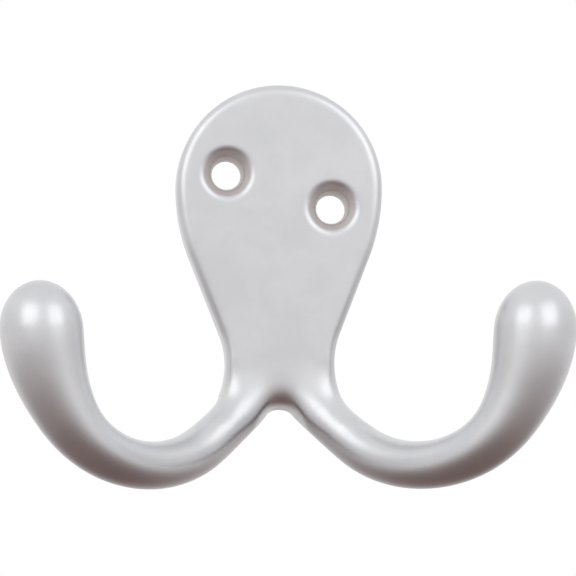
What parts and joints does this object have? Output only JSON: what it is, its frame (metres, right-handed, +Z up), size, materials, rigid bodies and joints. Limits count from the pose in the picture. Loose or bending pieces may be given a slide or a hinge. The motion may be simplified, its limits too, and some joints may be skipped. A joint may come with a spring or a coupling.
{
  "type": "double robe hook",
  "caption": "Wall hook with a pear-shaped plate, countersunk screw holes and a forked pair of curved arms with bulb tips, for hanging robes, towels and bags by a loop.",
  "frame": {"origin": "on the flat back face that lies against the wall, at the centre of the plate's round head", "axes": "+X to the right seen from the front, +Y into the wall, +Z up, so the front faces -Y and the wall is the plane Y = 0"},
  "size_m": [0.0742, 0.025, 0.0539],
  "materials": {
    "satin_nickel": "satin nickel plate on a die casting, fine soft brushing with no wear"
  },
  "bodies": {
    "root": {"double_robe_hook": "satin_nickel"}
  },
  "joints": []
}
